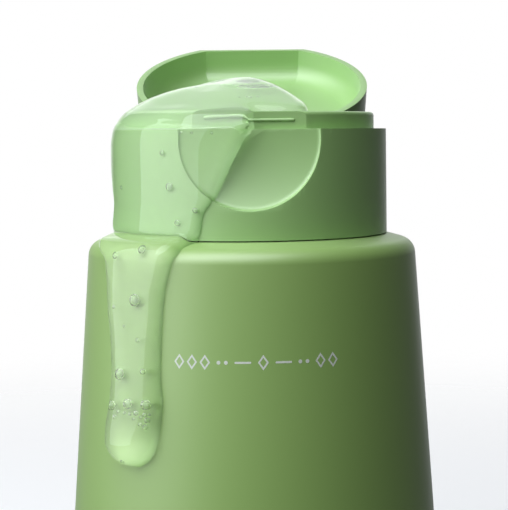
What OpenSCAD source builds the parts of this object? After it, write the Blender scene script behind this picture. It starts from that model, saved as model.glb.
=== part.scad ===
// Squeeze bottle of facial cleanser with a hinged flip-top closure, lid open,
// and clear cleanser that has welled out of the spout and run down the front.
// Millimetres. The origin is the centre of the foot ring on the ground plane,
// +Z points up through the spout and the front of the bottle faces -Y.

/* [Bottle] */
// Height of the bottle body from the ground to the seat of the closure
body_h = 73; // [60:0.5:100]
// Diameter that the straight side wall would have at the height of that seat
shoulder_d = 40.74; // [39.5:0.02:46]
// Slope of the side wall, in degrees on each side
taper = 4.05; // [2:0.05:5]
// Fall of the shoulder outside the closure, in degrees
shoulder_slope = 15.5; // [10:0.5:20]
// Radius of the round between shoulder and side wall
shoulder_round = 2; // [1:0.1:2.4]
// Thickness of the bottle's blown wall
bottle_wall = 1; // [0.6:0.05:1.3]
// Radius of the round at the foot of the side wall
foot_round = 3; // [1.5:0.1:4]
// Width of the flat ring that the bottle stands on
foot_ring = 3.2; // [2:0.1:5]
// Height of the pushed-up middle of the base
push_up = 1.4; // [0.6:0.1:2.5]
// Outer diameter of the neck
neck_d = 24; // [22:0.1:24.4]
// Thickness of the neck's wall
neck_wall = 1.4; // [1:0.05:2]
// Projection of the snap ring around the neck
snap_out = 0.9; // [0.5:0.05:1]
// Height of the snap ring
snap_h = 1.8; // [1.2:0.1:2.4]
// Distance of the snap ring's top below the neck's rim
snap_drop = 2.2; // [1:0.1:3]

/* [Closure] */
// Diameter of the closure at its lower edge
cap_d = 34; // [33.6:0.1:35]
// How much narrower the closure's radius is at the ledge
cap_draft = 0.07; // [0:0.01:0.2]
// Height of the closure from its lower edge to the ledge
cap_h = 12.85; // [11.5:0.05:16]
// Gap between the closure's lower edge and the bottle's shoulder
seam_gap = 0.15; // [0.05:0.05:0.4]
// Thickness of the closure's outer skirt
cap_wall = 1.3; // [0.9:0.05:1.4]
// Width of the ledge between the closure's wall and the raised deck, which the lid's rim closes on
ledge_w = 1.6; // [1.4:0.05:1.9]
// Height of the deck over the ledge
deck_h = 2.05; // [1.6:0.05:2.4]
// Thickness of the deck
deck_wall = 1.3; // [1:0.05:1.5]
// Radius of the round around the deck's top
deck_round = 0.45; // [0.2:0.05:0.8]
// Depth of the flat on the front of the deck
deck_flat = 1.44; // [1.3:0.02:1.5]
// Length of the snap rib on that flat
rib_l = 10.5; // [6:0.5:12]
// Height of the snap rib
rib_h = 0.38; // [0.2:0.02:0.6]
// Projection of the snap rib
rib_out = 0.2; // [0.1:0.02:0.24]
// Height of the middle of the snap rib over the ledge
rib_z = 1.05; // [0.7:0.05:1.4]

/* [Thumb recess] */
// Radius of the recess's outline on the front of the closure
recess_r = 8.3; // [6:0.1:8.8]
// Distance of the outline's centre below the ledge
recess_drop = 1.15; // [0.5:0.05:1.5]
// Depth of the recess at the ledge
recess_depth = 2.45; // [2:0.05:2.6]
// Radius of the hollow curve of the recess's floor
scoop_r = 60; // [30:5:120]

/* [Spout] */
// Outer diameter of the raised ring around the orifice
spout_d = 6.4; // [5.6:0.1:8]
// Height of that ring over the deck
spout_h = 1.2; // [0.8:0.1:1.5]
// Diameter of the orifice
orifice_d = 3; // [2.6:0.1:4]
// Length of the sealing plug that enters the bottle's neck
seal_l = 4; // [2.5:0.1:5]
// Thickness of the sealing plug's wall
seal_wall = 0.8; // [0.6:0.05:1.1]
// Height of the hook that grips the neck under its snap ring
hook_h = 2.6; // [2:0.1:4]

/* [Lid] */
// Height of the closed lid over its rim
lid_h = 5.6; // [5.4:0.1:8]
// Thickness of the lid's wall at the rim
lid_wall = 0.9; // [0.7:0.05:1]
// Thickness of the lid's top
lid_roof = 1; // [0.8:0.05:1.2]
// Radius of the round between the lid's wall and top, inside
bowl_round = 2.6; // [1.5:0.1:2.8]
// Thickness of the lid's flat front wall
lid_front_wall = 0.58; // [0.5:0.02:0.6]
// Gap between the rim of the closed lid and the ledge
lid_gap = 0.12; // [0.08:0.02:0.3]
// Play between the closed lid's flat front wall and the deck's flat
lid_play = 0.32; // [0.3:0.02:0.4]
// Play between the lid's stopper pin and the orifice
pin_play = 0.2; // [0.18:0.02:0.3]
// Depth that the pin enters the orifice
pin_in = 1; // [0.5:0.1:1.2]
// Opening angle of the lid as it stands, in degrees
lid_open = 157; // [90:1:175]

/* [Hinge] */
// Distance from the closure's wall back to the hinge axis
hinge_out = 0.22; // [0.2:0.02:0.4]
// Height of the hinge axis over the ledge
hinge_up = 0.13; // [0.1:0.01:0.2]
// Width of the living hinge
hinge_w = 6; // [4:0.5:6.4]
// Thickness of its web
hinge_t = 0.3; // [0.2:0.02:0.36]
// Depth of the flats that the web leaves from
hinge_flat = 0.34; // [0.3:0.02:0.4]

/* [Cleanser] */
// Height of the mound's top over the ledge
mound_h = 6.3; // [5:0.1:7]
// Length of the run below the ledge
run_l = 38.75; // [34:0.25:44]
// Thickness of the sheet that runs over the closure
sheet_t = 0.55; // [0.3:0.05:0.8]
// Thickness of the stream on the side wall
stream_t = 1.1; // [0.6:0.1:1.6]
// Thickness of the drop at its end
drop_t = 2.2; // [1.4:0.1:2.8]
// Gap that keeps the cleanser's solids clear of the plastic
film_gap = 0.05; // [0.03:0.01:0.1]
// Height of the cleanser inside, from the ground
fill_h = 69; // [20:1:69]

/* [Hidden] */

green = "#A6CB8A";
clear_green = "#D5E8C4";
round_fn = 128;
arc_steps = 6;
fit_gap = 0.1;
overshoot = 1;
skin = 0.02;

// Radii of small rounds: crisp edges, plain edges, and fillets between the parts of the bottle
crisp = 0.2;
soft = 0.3;
foot_fillet = 0.6;
neck_fillet = 0.8;
seat_fillet = 1.5;
base_fillet = 2;

ledge_z = body_h + seam_gap + cap_h;
cap_r = cap_d / 2;
top_r = cap_r - cap_draft;
deck_r = cap_r - ledge_w;
deck_front = deck_r - deck_flat;
recess_floor = cap_r - recess_depth;
neck_r = neck_d / 2;
bore_r = neck_r - neck_wall;
orifice_r = orifice_d / 2;

// Heights of the neck: its rim stops just under the deck, and its snap ring sits below the rim
neck_top = ledge_z + deck_h - deck_wall - fit_gap;
snap_top = neck_top - snap_drop;
snap_low = snap_top - snap_h;

hinge_y = top_r + hinge_out;
hinge_z = ledge_z + hinge_up;
hinge_face = top_r - hinge_flat;
lid_front = deck_front + lid_play + lid_front_wall;
lid_slab = 2 * cap_d;
lid_draft = 0.25;
lid_round = 1.1;
pin_flare = 0.6;
web_low = 0.2 * hinge_t;

// Round outlines: each corner of a path is [x, y, radius]

function flat_point(p) = [p.x, p.y];
function unit(v) = v / norm(v);

function round_corner(before, corner, after, r) =
    let (
        u = unit(before - corner),
        v = unit(after - corner),
        half = acos(u * v) / 2,
        centre = corner + unit(u + v) * r / sin(half),
        start = corner + u * r / tan(half) - centre,
        finish = corner + v * r / tan(half) - centre,
        from = atan2(start.y, start.x),
        step = (180 - 2 * half) * sign(cross(start, finish)) / arc_steps
    )
    [for (i = [0:arc_steps]) centre + r * [cos(from + i * step), sin(from + i * step)]];

function rounded(path) = [
    for (i = [0:len(path) - 1])
        let (
            here = path[i],
            before = flat_point(path[(i + len(path) - 1) % len(path)]),
            after = flat_point(path[(i + 1) % len(path)])
        )
        each (here[2] > 0 ? round_corner(before, flat_point(here), after, here[2]) : [flat_point(here)])
];

module turned(path) {
    rotate_extrude($fn = round_fn) polygon(rounded(path));
}

// Bottle

function side_r(z, inset = 0) = shoulder_d / 2 + (body_h - z) * tan(taper) - inset / cos(taper);

// Where the sloping shoulder meets the side wall, both moved inwards by inset
function shoulder_corner(inset = 0) =
    let (
        drop = inset / cos(shoulder_slope),
        slope = tan(shoulder_slope),
        lean = tan(taper),
        r = (side_r(body_h, inset) + lean * drop - cap_r * slope * lean) / (1 - slope * lean)
    )
    [r, body_h - drop - (r - cap_r) * slope];

foot_r = side_r(0);
foot_in = foot_r - foot_round - foot_ring;
dome_in = foot_in - 2 * push_up;

// The hollow of the bottle, moved inwards from the outside by inset
function hollow_path(inset) =
    let (corner = shoulder_corner(inset))
    [
        [0, push_up + inset, 0],
        [dome_in, push_up + inset, base_fillet],
        [foot_in, inset, base_fillet],
        [side_r(inset, inset), inset, foot_round - bottle_wall / 2],
        [corner.x, corner.y, shoulder_round - bottle_wall / 2]
    ];

module bottle() {
    corner = shoulder_corner();
    inner_top = body_h - bottle_wall;
    color(green)
    difference() {
        turned([
            [0, push_up, 0],
            [dome_in, push_up, base_fillet],
            [foot_in, 0, foot_fillet],
            [foot_r, 0, foot_round],
            [corner.x, corner.y, shoulder_round],
            [cap_r, body_h, seat_fillet],
            [neck_r, body_h, neck_fillet],
            [neck_r, snap_low, 0],
            [neck_r + snap_out, snap_low + fit_gap, soft],
            [neck_r + snap_out, snap_low + snap_h / 2, soft],
            [neck_r, snap_top, crisp],
            [neck_r, neck_top, soft],
            [0, neck_top, 0]
        ]);
        turned(concat(hollow_path(bottle_wall), [
            [cap_r - bottle_wall, inner_top, seat_fillet],
            [bore_r, inner_top, neck_fillet],
            [bore_r, neck_top + overshoot, 0],
            [0, neck_top + overshoot, 0]
        ]));
    }
}

// Closure

// Solid that fills the front of the closure behind the thumb recess
module recess_backing() {
    intersection() {
        translate([0, 0, ledge_z - cap_h])
            cylinder(r = cap_r - cap_wall / 2, h = cap_h, $fn = round_fn);
        translate([0, -recess_floor + cap_wall, ledge_z - recess_drop])
            rotate([90, 0, 0])
                cylinder(r = recess_r + cap_wall, h = cap_r, $fn = round_fn);
    }
}

// What the thumb recess takes away: a round outline with a hollow floor
module recess_cut() {
    intersection() {
        translate([0, 0, ledge_z - recess_drop])
            rotate([90, 0, 0])
                cylinder(r = recess_r, h = cap_d, $fn = round_fn);
        translate([0, -recess_floor - scoop_r, ledge_z])
            rotate([0, 90, 0])
                cylinder(r = scoop_r, h = cap_d, center = true, $fn = round_fn);
    }
}

module snap_rib() {
    translate([0, -deck_front, ledge_z + rib_z])
        rotate([0, 90, 0])
            linear_extrude(rib_l, center = true)
                polygon([
                    [-rib_h / 2, rib_out],
                    [-rib_h / 2, 0],
                    [-rib_h / 5, -rib_out],
                    [rib_h / 5, -rib_out],
                    [rib_h / 2, 0],
                    [rib_h / 2, rib_out]
                ]);
}

// Outer skirt with the ledge that the lid's rim closes on
module skirt() {
    skirt_in = cap_r - cap_wall;
    skirt_low = ledge_z - cap_h;
    turned([
        [cap_r, skirt_low, soft],
        [top_r, ledge_z, crisp],
        [deck_r - cap_wall, ledge_z, 0],
        [deck_r - cap_wall, ledge_z - cap_wall, 0],
        [skirt_in, ledge_z - cap_wall, soft],
        [skirt_in, skirt_low, crisp]
    ]);
}

// Raised deck with the spout, the sealing plug and the inner skirt that snaps on the neck
module deck() {
    roof = ledge_z + deck_h - deck_wall;
    deck_top = ledge_z + deck_h;
    spout_top = deck_top + spout_h;
    grip_in = neck_r + snap_out + fit_gap;
    grip_out = grip_in + cap_wall;
    hook_in = neck_r + fit_gap;
    hook_top = snap_low - fit_gap;
    hook_low = hook_top - hook_h;
    seal_out = bore_r - fit_gap / 2;
    turned([
        [deck_r, ledge_z - cap_wall / 2, 0],
        [deck_r, deck_top, deck_round],
        [spout_d / 2, deck_top, soft],
        [spout_d / 2, spout_top, soft],
        [orifice_r, spout_top, crisp],
        [orifice_r, roof, 0],
        [seal_out - seal_wall, roof, soft],
        [seal_out - seal_wall, roof - seal_l, crisp],
        [seal_out, roof - seal_l, soft],
        [seal_out, roof, 0],
        [grip_in, roof, 0],
        [grip_in, hook_top, 0],
        [hook_in, hook_top - soft, 0],
        [hook_in, (hook_top + hook_low) / 2, 0],
        [grip_in, hook_low, 0],
        [grip_out, hook_low, soft],
        [grip_out, ledge_z - cap_wall / 2, 0]
    ]);
}

// Takes the closure's round back down to the flat that the hinge leaves from
module hinge_flat_cut(low, high) {
    translate([-hinge_w / 2, hinge_face, low])
        cube([hinge_w, cap_r, high - low]);
}

module cap_base() {
    color(green)
    union() {
        difference() {
            union() {
                skirt();
                recess_backing();
            }
            recess_cut();
            hinge_flat_cut(ledge_z - 4 * hinge_t, ledge_z + overshoot);
        }
        difference() {
            deck();
            translate([-cap_r, -cap_r - deck_front, ledge_z])
                cube([cap_d, cap_r, deck_h + overshoot]);
        }
        snap_rib();
    }
}

// Lid

// Turns the closed lid about the hinge axis to where it stands
module opened() {
    translate([0, hinge_y, hinge_z])
        rotate([-lid_open, 0, 0])
            translate([0, -hinge_y, -hinge_z])
                children();
}

module lid_hollow(rim_z, roof_z) {
    rim_in = top_r - lid_wall;
    intersection() {
        turned([
            [0, rim_z - overshoot, 0],
            [rim_in, rim_z - overshoot, 0],
            [rim_in - lid_draft / 2, roof_z, bowl_round],
            [0, roof_z, 0]
        ]);
        rotate([90, 0, 90])
            linear_extrude(lid_slab, center = true)
                polygon(rounded([
                    [-lid_front + lid_front_wall, rim_z - 2 * overshoot, 0],
                    [cap_d, rim_z - 2 * overshoot, 0],
                    [cap_d, roof_z + overshoot, 0],
                    [bowl_round, roof_z + overshoot, 0],
                    [0, roof_z, 0],
                    [-lid_front + lid_front_wall, roof_z, bowl_round]
                ]));
    }
}

module stopper_pin(roof_z) {
    pin_r = orifice_r - pin_play;
    root_r = pin_r + pin_flare;
    tip_z = ledge_z + deck_h + spout_h - pin_in;
    turned([
        [0, tip_z, 0],
        [pin_r, tip_z, soft],
        [pin_r, roof_z - pin_flare, 0],
        [root_r, roof_z, 0],
        [root_r, roof_z + lid_roof / 2, 0],
        [0, roof_z + lid_roof / 2, 0]
    ]);
}

module closed_lid() {
    rim_z = ledge_z + lid_gap;
    top_z = rim_z + lid_h;
    roof_z = top_z - lid_roof;
    difference() {
        turned([
            [0, rim_z, 0],
            [top_r, rim_z, crisp],
            [top_r - lid_draft, top_z, lid_round],
            [0, top_z, 0]
        ]);
        lid_hollow(rim_z, roof_z);
        translate([-cap_d, -cap_d - lid_front, rim_z - overshoot])
            cube([2 * cap_d, cap_d, lid_h + 2 * overshoot]);
        hinge_flat_cut(rim_z - overshoot, rim_z + 3 * hinge_t);
    }
    stopper_pin(roof_z);
}

module lid() {
    color(green) opened() closed_lid();
}

// A point of the closed lid, carried to where the open lid has it, as [y, z]
function carried(y, z) =
    let (dy = y - hinge_y, dz = z - hinge_z)
    [
        hinge_y + cos(lid_open) * dy + sin(lid_open) * dz,
        hinge_z - sin(lid_open) * dy + cos(lid_open) * dz
    ];

// Thin web between the closure's flat and the lid's, as it lies with the lid open
module hinge_web() {
    rim_z = ledge_z + lid_gap;
    color(green)
    rotate([90, 0, 90])
        linear_extrude(hinge_w, center = true)
            polygon([
                [hinge_face, ledge_z - web_low - hinge_t],
                [hinge_face, ledge_z - web_low],
                carried(hinge_face, rim_z + web_low),
                carried(hinge_face, rim_z + web_low + hinge_t)
            ]);
}

// Cleanser

// The mound spreads from its top to an edge whose distance changes with the direction, in degrees: 0 is to
// the right, 90 to the back. Distances are shares of the closure's radius. Between two directions the mound
// spills: there its edge lies on the closure's outer wall, and the run takes over.
mound_top = [-0.047, -0.088] * cap_r;
mound_edge = [
    [-90, 0.73], [-60, 0.8], [-30, 0.506], [0, 0.424], [45, 0.435], [90, 0.506], [135, 0.66], [160, 0.847]
];
mound_foot_h = deck_h + film_gap + skin;
spill_from = 166;
spill_to = 276;
spill_ramp = 14;
spill_edge_h = sheet_t + 4 * film_gap;
spill_sag = 0.5;
roll_power = 6;
slope_power = 1.8;
mound_spokes = 60;
mound_rings = 12;
spoke_turn = 360 / mound_spokes;

// Distance from the mound's top to a circle of radius r about the axis, in a direction
function reach_to(r, a) =
    let (along = mound_top * [cos(a), sin(a)])
    sqrt(along * along + r * r - mound_top * mound_top) - along;

function mix(from, to, share) = from + (to - from) * share;

// 1 where the mound spills over the closure's wall, 0 where it stays on the deck
function spill_share(a) =
    let (x = max(0, min(1, 0.5 + min(a - spill_from, spill_to - a) / spill_ramp)))
    x * x * (3 - 2 * x);

function deck_reach(a) =
    let (b = a > 200 ? a - 360 : a)
    min(cap_r * lookup(b, mound_edge), reach_to(deck_r - deck_round, a));
function edge_reach(a) = mix(deck_reach(a), reach_to(cap_r, a), spill_share(a));
function edge_height(a) = mix(mound_foot_h, spill_edge_h, spill_share(a));

// Share of the mound's height that is left at share s of the way to the edge
function fall(s, spill) = mix(
    1 - pow(s, slope_power),
    (1 - spill_sag * s) * sqrt(max(0, 1 - pow(s, roll_power))),
    spill
);

function mound_point(ring, spoke, top) =
    let (
        a = spoke * spoke_turn,
        s = ring / mound_rings,
        reach = edge_reach(a) * s,
        low = edge_height(a),
        height = top ? mix(low, mound_h, fall(s, spill_share(a))) : film_gap
    )
    [mound_top.x + reach * cos(a), mound_top.y + reach * sin(a), ledge_z + height];

module mound_body() {
    tops = [for (ring = [1:mound_rings], spoke = [0:mound_spokes - 1]) mound_point(ring, spoke, true)];
    bottoms = [for (spoke = [0:mound_spokes - 1]) mound_point(mound_rings, spoke, false)];
    points = concat([mound_point(0, 0, true)], tops, bottoms, [mound_point(0, 0, false)]);
    last = len(points) - 1;
    faces = concat(
        [for (k = [0:mound_spokes - 1]) [0, 1 + (k + 1) % mound_spokes, 1 + k]],
        [
            for (ring = [0:mound_rings - 1], k = [0:mound_spokes - 1])
                let (
                    next = (k + 1) % mound_spokes,
                    a = 1 + ring * mound_spokes
                )
                each [
                    [a + k, a + next, a + mound_spokes + next],
                    [a + k, a + mound_spokes + next, a + mound_spokes + k]
                ]
        ],
        [
            for (k = [0:mound_spokes - 1])
                let (a = 1 + mound_rings * mound_spokes)
                [a + k, a + (k + 1) % mound_spokes, last]
        ]
    );
    polyhedron(points, faces);
}

module cleanser_mound() {
    color(clear_green, 0.5)
    difference() {
        mound_body();
        intersection() {
            translate([0, 0, ledge_z - overshoot])
                cylinder(r = deck_r + film_gap, h = deck_h + film_gap + overshoot, $fn = round_fn);
            translate([-cap_r, -deck_front - rib_out - film_gap, ledge_z - overshoot])
                cube([cap_d, cap_d, deck_h + 3 * overshoot]);
        }
        translate([0, 0, ledge_z])
            cylinder(r = spout_d / 2 + film_gap, h = deck_h + spout_h + film_gap, $fn = round_fn);
    }
}

// The run follows the closure's wall and the bottle's shoulder and side. Each station of its path is
// [distance from the axis, height, direction that the wall faces in degrees over the horizontal].
wall_drops = [-0.018, -0.008, 0.008, 0.026, 0.052, 0.103, 0.155, 0.206, 0.258, 0.297] * run_l;
side_drops = [
    0.392, 0.426, 0.477, 0.542, 0.619, 0.697, 0.774, 0.826, 0.865, 0.903, 0.942, 0.968, 0.986, 0.996, 1
] * run_l;
shoulder_step = 0.6;
seam_lean = 50;
shoulder_lean = 60;

function wall_stations() = [for (drop = wall_drops) [cap_r + film_gap, -drop, 0]];

function shoulder_stations() =
    let (
        seat = body_h - ledge_z,
        corner = shoulder_corner(),
        away = [sin(shoulder_slope), cos(shoulder_slope)] * film_gap,
        r_start = cap_r + shoulder_step,
        r_end = corner.x - shoulder_step
    )
    [
        [r_start, seat - (r_start - cap_r) * tan(shoulder_slope) + 2 * away.y, seam_lean],
        [r_end, corner.y - ledge_z + (corner.x - r_end) * tan(shoulder_slope) + 3 * away.y, shoulder_lean]
    ];

function side_stations() = [
    for (drop = side_drops)
        [side_r(ledge_z - drop) + 2 * film_gap, -drop, taper]
];

run_stations = concat(wall_stations(), shoulder_stations(), side_stations());

// Where the run's left and right edges lie around the bottle, in degrees from the front, and its thickness.
// Each is given by the share of the run's length below the ledge.
run_left = [
    [-0.018, -103], [0.021, -101], [0.077, -97], [0.155, -88], [0.227, -71.5], [0.292, -79.5],
    [0.33, -76], [0.351, -68], [0.397, -59], [0.457, -57.6], [0.547, -54.6], [0.637, -51.4],
    [0.723, -50.6], [0.821, -51.1], [0.877, -52.1], [0.942, -51.2], [0.968, -49.2], [0.986, -46.6],
    [0.996, -43.6], [1, -40.2]
];
run_right = [
    [-0.018, -0.6], [0.008, -1.8], [0.103, -8.6], [0.209, -14.7], [0.253, -18.9], [0.323, -20.2],
    [0.346, -24], [0.387, -26.1], [0.472, -28.4], [0.532, -29.3], [0.594, -29.9], [0.723, -29.4],
    [0.8, -28.2], [0.877, -28.9], [0.942, -30.6], [0.968, -32.4], [0.986, -34.8], [0.996, -37.2],
    [1, -40.2]
];
run_thickness = [
    [-0.018, 0], [-0.008, sheet_t * 0.6], [0, sheet_t * 0.8], [0.026, sheet_t], [0.232, sheet_t],
    [0.297, stream_t * 0.8], [0.341, stream_t], [0.619, stream_t], [0.774, stream_t * 1.2],
    [0.865, drop_t * 0.95], [0.929, drop_t], [0.968, drop_t * 0.75], [0.986, drop_t * 0.52],
    [0.996, drop_t * 0.27], [1, 0]
];
run_columns = 16;

function run_depth(u) = sqrt(max(0, 1 - pow(2 * u - 1, 4)));

// across goes from 0 at the left edge to 1 at the right, out is false on the wall side
function run_point(station, across, out) =
    let (
        share = -station[1] / run_l,
        angle = mix(lookup(share, run_left), lookup(share, run_right), across),
        thick = skin + lookup(share, run_thickness) * run_depth(across),
        t = out ? thick : 0,
        r = station[0] + t * cos(station[2])
    )
    [r * sin(angle), -r * cos(angle), ledge_z + station[1] + t * sin(station[2])];

module cleanser_run() {
    rows = len(run_stations);
    row = 2 * (run_columns + 1);
    // each ring goes over the outside from left to right and back along the wall
    points = [
        for (station = run_stations)
            each concat(
                [for (c = [0:run_columns]) run_point(station, c / run_columns, true)],
                [for (c = [run_columns:-1:0]) run_point(station, c / run_columns, false)]
            )
    ];
    sides = [
        for (i = [0:rows - 2], k = [0:row - 1])
            let (next = (k + 1) % row, a = i * row, b = a + row)
            each [[a + k, a + next, b + next], [a + k, b + next, b + k]]
    ];
    ends = [
        for (c = [0:run_columns - 1])
            let (far = row - 1 - c, a = (rows - 1) * row)
            each [
                [c, far, far - 1],
                [c, far - 1, c + 1],
                [a + c, a + far - 1, a + far],
                [a + c, a + c + 1, a + far - 1]
            ]
    ];
    color(clear_green, 0.5) polyhedron(points, concat(sides, ends));
}

module cleanser_fill() {
    inset = bottle_wall + film_gap;
    color(clear_green)
    intersection() {
        turned(concat(hollow_path(inset), [[0, shoulder_corner(inset).y, 0]]));
        cylinder(r = foot_r, h = fill_h, $fn = round_fn);
    }
}

bottle();
cap_base();
hinge_web();
lid();
cleanser_mound();
cleanser_run();
cleanser_fill();
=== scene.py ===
"""Flip-top squeeze bottle with clear cleanser on it: materials, light, camera and fine shapes."""

import math

import bmesh
import bpy
import numpy as np
from mathutils import Matrix, Vector


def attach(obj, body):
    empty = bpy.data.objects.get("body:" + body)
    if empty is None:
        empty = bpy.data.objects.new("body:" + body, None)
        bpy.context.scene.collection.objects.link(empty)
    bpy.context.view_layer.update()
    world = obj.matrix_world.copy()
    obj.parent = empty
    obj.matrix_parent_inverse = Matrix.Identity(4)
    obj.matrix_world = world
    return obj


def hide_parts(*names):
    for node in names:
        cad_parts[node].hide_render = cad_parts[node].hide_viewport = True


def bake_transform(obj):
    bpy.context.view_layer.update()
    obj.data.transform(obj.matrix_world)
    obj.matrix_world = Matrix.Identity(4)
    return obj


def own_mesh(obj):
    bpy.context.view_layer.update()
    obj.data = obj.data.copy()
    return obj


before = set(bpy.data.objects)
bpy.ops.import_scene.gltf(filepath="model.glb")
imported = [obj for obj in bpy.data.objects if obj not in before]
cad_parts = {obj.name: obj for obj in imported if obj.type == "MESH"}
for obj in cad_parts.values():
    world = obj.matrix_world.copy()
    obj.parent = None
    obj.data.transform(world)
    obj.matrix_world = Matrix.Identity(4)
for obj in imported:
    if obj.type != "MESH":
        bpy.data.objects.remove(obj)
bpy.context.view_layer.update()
MM = 0.001

# Sizes shared with the solids, in millimetres
BODY_H, SEAM_GAP, CAP_H = 73.0, 0.15, 12.85
LEDGE_Z = BODY_H + SEAM_GAP + CAP_H
CAP_R, TOP_R = 17.0, 16.93
DECK_R, DECK_H, DECK_FRONT = 15.4, 2.05, 13.96
SHOULDER_R, TAPER, SHOULDER_SLOPE = 20.37, math.radians(4.05), math.radians(15.5)
RECESS_R, RECESS_DROP = 8.3, 1.15
# The recess's floor is more hollow here than in the solid
RECESS_FLOOR, SCOOP_R = 14.55, 26.0

# The photograph's camera: focal length in pixels, distance from the bottle's axis, and its small turns
PHOTO_H = 510
FOCAL_PX, CAMERA_DISTANCE = 1489.33, 187.83
PITCH, ROLL, YAW = math.radians(4.559), math.radians(-0.559), math.radians(-0.322)
CAMERA_X, CAMERA_Z = 0.261, -0.822


def make_camera():
    data = bpy.data.cameras.new("camera")
    data.sensor_width = 36
    data.lens = FOCAL_PX * data.sensor_width / PHOTO_H
    data.clip_start, data.clip_end = 0.01, 10
    camera = link_new("camera", data)
    right = Vector((1, 0, 0))
    up = Vector((0, math.sin(PITCH), math.cos(PITCH)))
    forward = Vector((0, math.cos(PITCH), -math.sin(PITCH)))
    rolled_right = math.cos(ROLL) * right + math.sin(ROLL) * up
    rolled_up = math.cos(ROLL) * up - math.sin(ROLL) * right
    turn = Matrix((rolled_right, rolled_up, -forward)).transposed().to_4x4()
    place = Matrix.Translation(Vector((CAMERA_X, -CAMERA_DISTANCE, CAMERA_Z)) * MM)
    lift = Matrix.Translation((0, 0, LEDGE_Z * MM))
    camera.matrix_world = lift @ Matrix.Rotation(-YAW, 4, "Z") @ place @ turn
    bpy.context.scene.camera = camera


# A Mix node's sockets for two colours and the one between them
COLOUR_A, COLOUR_B, COLOUR_OUT = 6, 7, 2


class Nodes:
    """Short names for building a node tree."""

    def __init__(self, tree):
        self.tree = tree
        tree.nodes.clear()

    def add(self, kind, inputs=None, **settings):
        node = self.tree.nodes.new(kind)
        for key, value in settings.items():
            setattr(node, key, value)
        for key, value in (inputs or {}).items():
            if isinstance(value, bpy.types.NodeSocket):
                self.tree.links.new(value, node.inputs[key])
            else:
                node.inputs[key].default_value = value
        return node

    def noise(self, scale, detail):
        """Noise that is fixed to the object, from 0 to 1."""
        place = self.add("ShaderNodeTexCoord")
        made = self.add("ShaderNodeTexNoise", {
            "Vector": place.outputs["Object"], "Scale": scale, "Detail": detail,
        })
        return made.outputs["Fac"]

    def blend(self, factor, first, second):
        """A colour from the first to the second as the factor goes from 0 to 1."""
        mix = self.add("ShaderNodeMix", {
            "Factor": factor, COLOUR_A: (*first, 1), COLOUR_B: (*second, 1),
        }, data_type="RGBA")
        return mix.outputs[COLOUR_OUT]

    def surface(self, shader, kind="ShaderNodeOutputMaterial"):
        """Makes a shader the surface of the material or the world."""
        output = self.add(kind)
        self.tree.links.new(shader.outputs[0], output.inputs["Surface"])


def new_material(name):
    material = bpy.data.materials.new(name)
    material.use_nodes = True
    return material, Nodes(material.node_tree)


# How strong the surroundings are in reflections of the studio's front, and as light on the bottle
STUDIO_DIM, AMBIENT = 0.03, 0.01
# How far a reflected ray points to the back where the white backdrop begins, and where it is full
BACKDROP_FROM, BACKDROP_TO = 0.86, 0.97


def make_world():
    world = bpy.data.worlds.new("studio")
    world.use_nodes = True
    bpy.context.scene.world = world
    n = Nodes(world.node_tree)
    path = n.add("ShaderNodeLightPath")
    place = n.add("ShaderNodeTexCoord")
    axes = n.add("ShaderNodeSeparateXYZ", {"Vector": place.outputs["Generated"]})
    # reflections see a white backdrop behind the bottle and a dim studio in front
    reflected = n.add("ShaderNodeMapRange", {
        "Value": axes.outputs["Y"], "From Min": BACKDROP_FROM, "From Max": BACKDROP_TO,
        "To Min": STUDIO_DIM, "To Max": 1.0,
    })
    ambient = n.add("ShaderNodeMix", {
        "Factor": path.outputs["Is Glossy Ray"], "A": AMBIENT, "B": reflected.outputs["Result"],
    })
    # the eye sees white, also through the gel, but no light comes from it
    undiffused = n.add("ShaderNodeMath", {0: path.outputs["Diffuse Depth"], 1: 0.5}, operation="LESS_THAN")
    through = n.add("ShaderNodeMath", {
        0: path.outputs["Is Transmission Ray"], 1: undiffused.outputs[0],
    }, operation="MULTIPLY")
    seen = n.add("ShaderNodeMath", {
        0: path.outputs["Is Camera Ray"], 1: through.outputs[0],
    }, operation="MAXIMUM")
    strength = n.add("ShaderNodeMix", {"Factor": seen.outputs[0], "A": ambient.outputs["Result"], "B": 1.0})
    background = n.add("ShaderNodeBackground", {
        "Color": (1, 1, 1, 1), "Strength": strength.outputs["Result"],
    })
    n.surface(background, "ShaderNodeOutputWorld")


LAMP_COLOUR = (0.97, 1.0, 1.04)


def softbox(name, azimuth, elevation, distance, width, height, power):
    """A rectangular lamp that faces the closure. Azimuth 0 is in front of it, negative to the left."""
    data = bpy.data.lights.new(name, "AREA")
    data.shape = "RECTANGLE"
    data.size, data.size_y = width, height
    data.energy = power
    data.color = LAMP_COLOUR
    lamp = link_new(name, data)
    a, e = math.radians(azimuth), math.radians(elevation)
    away = Vector((math.sin(a) * math.cos(e), -math.cos(a) * math.cos(e), math.sin(e)))
    target = Vector((0, 0, LEDGE_Z * MM))
    lamp.location = target + away * distance
    lamp.visible_camera = False
    lamp.rotation_mode = "QUATERNION"
    lamp.rotation_quaternion = away.to_track_quat("Z", "Y")
    return lamp


def make_lights():
    softbox("key", -70, 20, distance=0.6, width=0.7, height=0.64, power=3.1)
    softbox("top", -30, 58, distance=0.55, width=0.6, height=0.5, power=3.4)
    softbox("back", 180, 38, distance=0.6, width=0.6, height=0.5, power=0.6)
    fill = softbox("fill", 165, 8, distance=0.7, width=0.5, height=0.5, power=1.6)
    fill.visible_glossy = fill.visible_transmission = False


BODY_TONES = (0.286, 0.492, 0.108), (0.302, 0.508, 0.118)
CLOSURE_TONES = (0.315, 0.57, 0.172), (0.331, 0.587, 0.186)
INK_TONES = (0.66, 0.74, 0.62), (0.86, 0.9, 0.84)


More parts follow.
